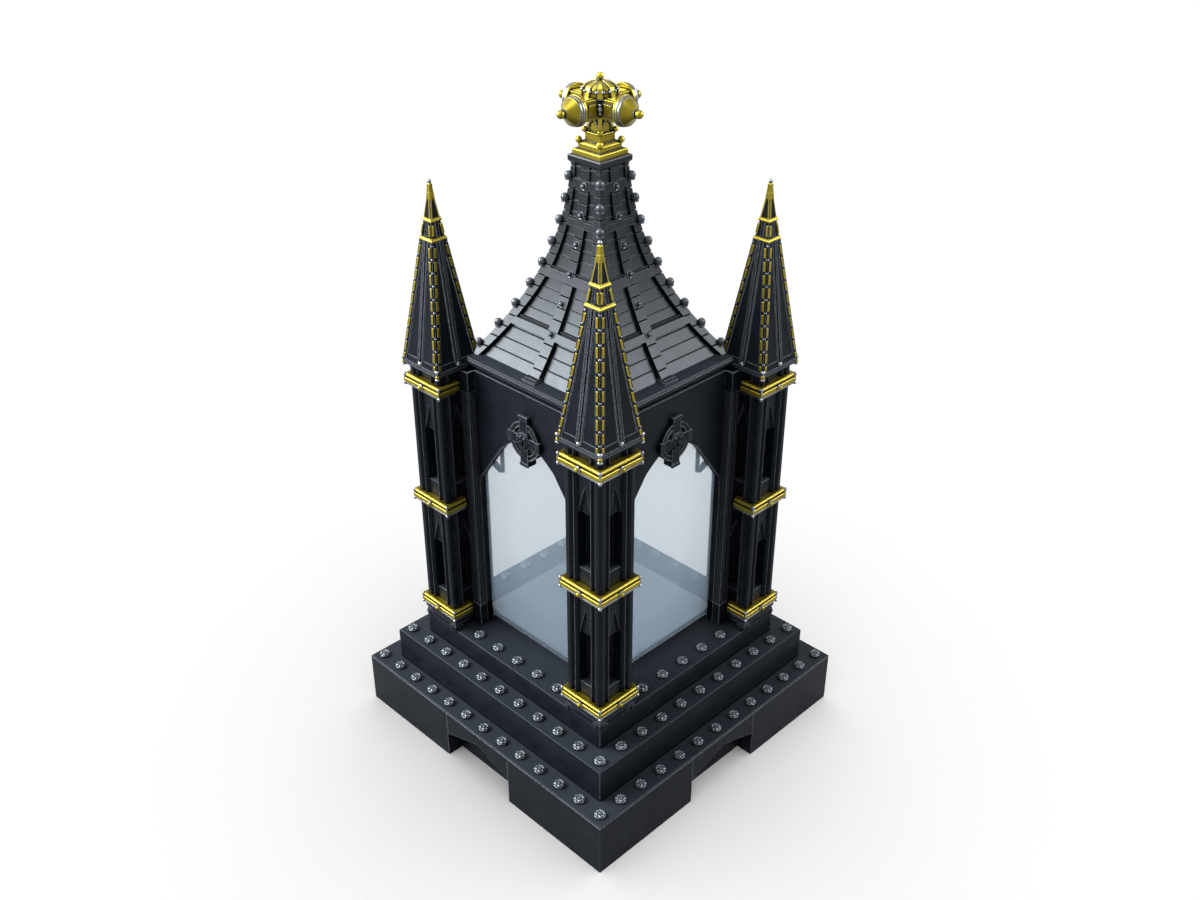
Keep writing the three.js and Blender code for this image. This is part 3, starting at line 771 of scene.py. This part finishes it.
def course_levels(z0, z1, step):
    """Heights from z0 to z1 with the depth of the surface at each: joints between courses are V-grooves."""
    joints = [BALL_TOP - step * i for i in range(-2, 40)]
    levels = {z0: 0.0, z1: 0.0}
    samples = int((z1 - z0) / 3) + 2
    for i in range(samples + 1):
        levels.setdefault(z0 + (z1 - z0) * i / samples, 0.0)
    for joint in joints:
        if z0 + JOINT_MARGIN < joint < z1 - JOINT_MARGIN:
            for z in [level for level in levels if abs(level - joint) < 0.6 and z0 < level < z1]:
                del levels[z]
            levels[joint - JOINT_HALF] = levels[joint + JOINT_HALF] = 0.0
            levels[joint] = JOINT_DEPTH
    return sorted(levels.items())


def strip(left, right, z0, z1, step=COURSE):
    """A curved rib on the front face between two edges given as functions of the height."""
    rings = []
    for z, groove in course_levels(z0, z1, step):
        y = -roof_half(z) + groove
        back = -roof_half(z) + panel_depth(z) + SEAT
        rings.append([(left(z), y, z), (right(z), y, z), (right(z), back, z), (left(z), back, z)])
    return loft(rings)


def ridge_edge(z):
    """Where the ridge rib ends on the front face: the rib narrows over the top 60 mm."""
    return max(roof_half(z) - RIDGE_WIDTH * min(1.0, 0.45 + 0.55 * (ROOF_TOP - z) / 60), 1.0)


def pilaster_edge(z):
    return PILASTER_HALF * (0.88 if z > 350 else 1.0)


def ridge():
    """An angle rib along the roof's right front ridge."""
    rings = []
    for z, groove in course_levels(EAVE_LINE, ROOF_TOP, COURSE):
        out, edge = roof_half(z) - groove, ridge_edge(z)
        deep = roof_half(z) - panel_depth(z) - SEAT
        rings.append([(out, -out, z), (out, -edge, z), (deep, -edge, z), (deep, -deep, z), (edge, -deep, z),
                      (edge, -out, z)])
    return loft(rings)


def roof_floor():
    """The panels' surface behind the ribs, with shallower joints."""
    return tower([(roof_half(z) - panel_depth(z) + 0.6 * groove, z)
                  for z, groove in course_levels(EAVE_LINE, ROOF_TOP, COURSE)])


def sills():
    """A low step at the foot of each panel."""
    shells = []
    for bottom, _ in TIERS[1:4]:
        x0, x1 = pilaster_edge(bottom), ridge_edge(bottom) + 0.5
        floor = -roof_half(bottom) + panel_depth(bottom)
        shells.append(box(x0, x1, floor - 1.3, floor + 1.2, bottom - 1, bottom + 1.3))
    return mirrored(shells)


def cross_bands():
    """The plain bands between one tier of panels and the next."""
    return [strip(lambda z: -ridge_edge(z) - 0.4, lambda z: ridge_edge(z) + 0.4, below[1], above[0], UNBROKEN)
            for above, below in zip(TIERS, TIERS[1:])]


def roof_body():
    pilaster = strip(lambda z: -pilaster_edge(z), pilaster_edge, EAVE_LINE, ROOF_TOP)
    collar = tower([(ROOF_NECK + 0.2, -1), (ROOF_NECK + 0.8, -0.4), (13.3, 0), (13.7, 0.5),
                    (13.7, COLLAR_RISE - 0.6), (13.2, COLLAR_RISE)], ROOF_TOP)
    return [roof_floor(), collar] + spread([ridge(), pilaster] + cross_bands() + sills())


def roof_beads():
    """The balls along the ridges, each on a small foot, and the round studs down the middle of each side."""
    beads, studs = [], []
    foot = turned([(2.4, -2.6), (2.5, -1.9), (1.9, -1.5), (1.4, -1.2)], 18)
    for i in range(BALL_COUNT):
        z = BALL_TOP - BALL_PITCH * i
        out = roof_half(z) + 0.3
        beads += place([ball(BALL_RADIUS, 20, 12), foot], at(out, -out, z + 0.9))
    stud = [turned([(2.4, -0.4), (2.5, 0.3), (2.1, 0.7), (1.7, 0.5)], 24)]
    stud += place([ball(1.55)], at(0, 0, 0.9))
    for i in range(ROOF_STUD_COUNT):
        z = ROOF_STUD_TOP - ROOF_STUD_PITCH * i
        slope = (roof_half(z - 1) - roof_half(z + 1)) / 2
        tilt = Matrix.Rotation(-math.atan(slope), 4, "X")
        studs += place(stud, at(0, -roof_half(z), z) @ tilt @ FORWARD)
    return spread(beads), spread(studs)


def roof():
    beads, studs = roof_beads()
    make("roof_ribs", roof_body(), ROOF_METAL, ["roof"], bevel=0.15)
    make("roof_balls", beads, STUD_METAL, bevel=0)
    make("roof_studs", studs, STUD_METAL, bevel=0)


# ---- finial ------------------------------------------------------------------------------------------
AXIS = (HEAD_FOOT + HEAD_TOP) / 2 + 0.15
BOSS_REACH = 31.35


def finial_base():
    """The stepped foot and neck: gilding, burnished beads and bars, silver scrolls and dark joints."""
    z = COLLAR_TOP
    steps = tower([(11.8, 0), (11.8, 3), (11.3, 3.5), (9.2, 3.5), (9.2, 6.2), (9.6, 6.6), (9.0, 7.3),
                   (8.2, 7.9), (6.3, 8.2), (6.3, 12.4), (6.7, 12.8), (6.7, 13.5), (4.8, 13.6),
                   (4.8, HEAD_FOOT - z)], z)
    bright = place([ball(2.1, 18, 10)], at(8.9, -8.9, z + 8.6))
    bright += place([ball(1.75, 16, 10)], at(6.5, -6.5, z + 14.8))
    bright.append(box(4.0, 5.7, -5.7, -4.0, z + 14, HEAD_FOOT))
    dark = [tower([(half, rise), (half, rise + 0.4)], z)
            for half, rise in ((12.2, -0.1), (10.0, 3.4), (7.3, 7.95), (5.6, 13.5))]
    dark += spread([box(3.3, 5.2, -5.2, -3.3, z + 14, HEAD_FOOT)])
    scroll = [ball(1.0, 12, 8)]
    scroll += place([ball(0.8, 12, 8)], at(1.3, -1.7, 0))
    scroll += place([ball(0.7, 12, 8)], at(-0.9, 1.5, 0))
    silver = mirrored(place(scroll, at(2.4, -5.3, HEAD_FOOT - 3.4) @ FORWARD))
    return [steps], spread(bright), spread(silver), dark


def folded_plate(half, thick, reach, rise):
    """A plate folded into the corner between two arms of the head, with its middle on their axis."""
    return [box(half, half + thick, -half - reach, -half, AXIS - rise, AXIS + rise),
            box(half, half + reach, -half - thick, -half, AXIS - rise, AXIS + rise)]


def finial_head():
    """The four arms, the folded plaques between them with dark borders, straps and silver knots."""
    half, top = 6.2, HEAD_TOP
    arm = box(-half, half, -ARM, 0, HEAD_FOOT, top)
    strap = box(-4.6, 4.6, -ARM + 1.5, -half - 3, top - 0.4, top + 0.6)
    knot = [turned([(0.9, -3.2), (1.3, -2.6), (0.9, -1.8), (1.2, -1.3), (1.9, 0), (1.2, 1.3), (0.9, 1.8),
                    (1.3, 2.6), (0.9, 3.2)], 16)]
    silver = spread(place(knot, at(7.9, -7.9, AXIS)))
    bright = spread(folded_plate(half, 0.7, 9.4, 3.1) + [strap])
    return spread([arm]), bright, silver, spread(folded_plate(half, 0.35, 10, 3.7))


def finial_boss():
    """The flanged cone at the end of an arm: gilding, silver rims and dark joints."""
    flange = turned([(9.0, -0.3), (9.3, 0), (9.3, 1.2), (8.9, 1.5)], 48)
    second = turned([(8.6, 1.5), (8.8, 2.8), (8.4, 3.2), (8.3, 4.0), (7.9, 4.4)], 48)
    cone = turned([(7.8, 4.2), (7.6, 4.6), (2.1, BOSS_REACH - ARM - 2)], 40)
    bead = place([ball(2.55, 24, 14)], at(0, 0, BOSS_REACH - ARM))
    rims = [hoop([(8.2, 1.7), (9.0, 1.7), (9.0, 2.1), (8.2, 2.1)], 48),
            hoop([(7.9, 3.4), (8.6, 3.4), (8.6, 3.8), (7.9, 3.8)], 48),
            hoop([(1.7, 9.3), (2.5, 9.3), (2.5, 9.9), (1.7, 9.9)], 24)]
    dark = [turned([(8.95, 2.1), (8.95, 2.6)], 48), turned([(8.35, 3.8), (8.35, 4.35)], 48),
            turned([(2.75, 9.9), (2.75, 10.3)], 24)]
    outward = at(0, -ARM, AXIS) @ FORWARD
    return place([flange, second, cone] + bead, outward), place(rims, outward), place(dark, outward)


def dome_rib(profile, inset, border):
    """A rib along a profile of (radius, z), set in by the inset and widened by the border on each side."""
    rings = []
    for r, z in profile:
        width, out = 0.35 + 0.11 * r + border, r - inset
        rings.append([(r - 2.4, -width, z), (out, -width, z), (out, width, z), (r - 2.4, width, z)])
    return loft(rings)


def finial_dome():
    """A ribbed dome of eight ribs, with a silver ring of knots round its middle."""
    foot, crown = HEAD_TOP, 462.0
    waist, waist_z = 10.3, foot + 3.6
    rise = crown - waist_z - 0.2
    skirt = [(11.0, foot - 0.4), (11.1, foot + 0.6), (waist, waist_z)]
    angles = [i * QUARTER / 8 for i in range(1, 8)]
    profile = skirt + [(waist * math.cos(a), waist_z + rise * math.sin(a)) for a in angles]
    eighths = [Matrix.Rotation(k * QUARTER / 2, 4, "Z") for k in range(8)]
    gilt = [turned([(r - 1.0, z) for r, z in profile] + [(0, crown - 0.8)], 48)]
    bright = place([dome_rib(profile, 0.0, 0.0)], *eighths)
    bright += place([ball(2.3, 24, 14)], at(0, 0, crown + 1.7))
    dark = [turned([(11.3, foot - 0.5), (11.3, foot - 0.05)], 48)]
    dark += place([dome_rib(profile, 0.55, 0.5)], *eighths)
    silver = [hoop([(waist - 1.4, waist_z - 0.5), (waist + 0.1, waist_z - 0.5), (waist + 0.1, waist_z + 0.3),
                    (waist - 1.4, waist_z + 0.3)], 48)]
    pair = [at(waist, side, waist_z) for side in (-1.9, 1.9)]
    silver += place([ball(0.95, 12, 8)], *[eighth @ spot for eighth in eighths for spot in pair])
    silver += place([turned([(1.9, 0), (1.6, 0.5), (1.2, 0.8)], 20)], at(0, 0, crown - 0.6))
    return gilt, bright, silver, dark


def finial():
    knots, burnished, joints = [], [], []
    for name, part in (("base", finial_base), ("head", finial_head), ("dome", finial_dome)):
        gilt, bright, silver, dark = part()
        make(f"finial_{name}_gilding", gilt, GILT, [f"finial_{name}"], bevel=0.25)
        burnished += bright
        knots += silver
        joints += dark
    make("finial_burnished_trim", burnished, BRIGHT_GILT, bevel=0.15)
    gilt, silver, dark = finial_boss()
    for quarters, side in enumerate(SIDES):
        make(f"finial_boss_gilding_{side}", place(gilt, turn(quarters)), GILT,
             [f"finial_boss_{side}"], bevel=0.2)
    make("finial_knots", knots + spread(silver), SILVER, bevel=0)
    make("finial_joints", joints + spread(dark), BLACK, bevel=0)


# ---- nodes that keep their own mesh ------------------------------------------------------------------
def dress(node, material):
    piece = frame["nodes"][node]
    piece = bpy.data.objects[piece] if isinstance(piece, str) else piece
    for slot in piece.material_slots:
        slot.link = "OBJECT"
        slot.material = material
    return piece


def kept_nodes():
    """Gives the plain nodes their finish and returns the clear ones."""
    for corner in CORNERS:
        dress(f"case_pad_{corner}", BLACK)
        dress(f"ceiling_bracket_{corner}", BLACK)
    return [dress("case_floor", FLOOR_GLASS)] + [dress(f"glass_{side}", PANE_GLASS) for side in SIDES]


# ---- studio ------------------------------------------------------------------------------------------
CAMERA_AT = Vector((0.5222, -0.5222, 0.6442))
CAMERA_AIM = Vector((0, 0, 0.2154))
LENS = 38.13
LIGHT_AIM = Vector((0, 0, 0.25))
LIGHT_DISTANCE = 1.5
FLOOR_REACH = 12
ROOM_LIGHT = 1.12


def aim(thing, target):
    thing.rotation_euler = (target - thing.location).to_track_quat("-Z", "Y").to_euler()


def camera():
    data = bpy.data.cameras.new("camera")
    data.lens = LENS
    data.sensor_width = 36
    data.clip_start = 0.01
    thing = bpy.data.objects.new("camera", data)
    thing.location = CAMERA_AT
    aim(thing, CAMERA_AIM)
    bpy.context.scene.collection.objects.link(thing)
    bpy.context.scene.camera = thing


def excluded(name, pieces):
    """A light-linking collection that leaves the pieces out."""
    group = bpy.data.collections.new(name)
    for piece in pieces:
        group.objects.link(piece)
    for member in group.collection_objects:
        member.light_linking.link_state = "EXCLUDE"
    return group


def softbox(name, direction, size, power, unlit, unshaded=None):
    """A rectangular light that leaves out what is unlit, and lets the unshaded pieces throw no shadow."""
    data = bpy.data.lights.new(name, "AREA")
    data.shape = "RECTANGLE"
    data.size, data.size_y = size
    data.energy = power
    thing = bpy.data.objects.new(name, data)
    thing.location = LIGHT_AIM + Vector(direction).normalized() * LIGHT_DISTANCE
    aim(thing, LIGHT_AIM)
    bpy.context.scene.collection.objects.link(thing)
    thing.light_linking.receiver_collection = unlit
    if unshaded:
        thing.light_linking.blocker_collection = unshaded


def pale_floor():
    mesh = bpy.data.meshes.new("floor")
    mesh.from_pydata(square(FLOOR_REACH, 0), [], [(0, 1, 2, 3)])
    floor = bpy.data.objects.new("floor", mesh)
    bpy.context.scene.collection.objects.link(floor)
    material = bpy.data.materials.new("pale_floor")
    material.use_nodes = True
    shader = material.node_tree.nodes["Principled BSDF"]
    shader.inputs["Base Color"].default_value = (0.95, 0.95, 0.95, 1)
    shader.inputs["Roughness"].default_value = 0.9
    shader.inputs["Specular IOR Level"].default_value = 0.1
    mesh.materials.append(material)
    return floor


def studio(clear):
    """A white room with a pale floor; its lamps light the object, but not the floor or the clear pieces."""
    floor = pale_floor()
    world = bpy.data.worlds.new("studio")
    world.use_nodes = True
    world.node_tree.nodes["Background"].inputs["Color"].default_value = (1, 1, 1, 1)
    world.node_tree.nodes["Background"].inputs["Strength"].default_value = ROOM_LIGHT
    bpy.context.scene.world = world
    bpy.context.scene.view_settings.view_transform = "Standard"
    unlit = excluded("floor_only", [floor, *clear])
    spires_apart = excluded("spires_apart", [piece for piece in bpy.context.scene.collection.objects
                                             if piece.name.startswith("spire_")])
    softbox("key", (-0.6, -0.6, 0.53), (1.1, 0.7), 118, unlit, spires_apart)
    softbox("fill", (0.6, 0.6, 0.53), (0.9, 0.6), 38, unlit, spires_apart)
    softbox("top", (-0.1, -0.15, 0.98), (1.0, 1.0), 24, unlit)


plinth()
pillars()
walls()
cornice()
spires()
roof()
finial()
clear_pieces = kept_nodes()
camera()
studio(clear_pieces)
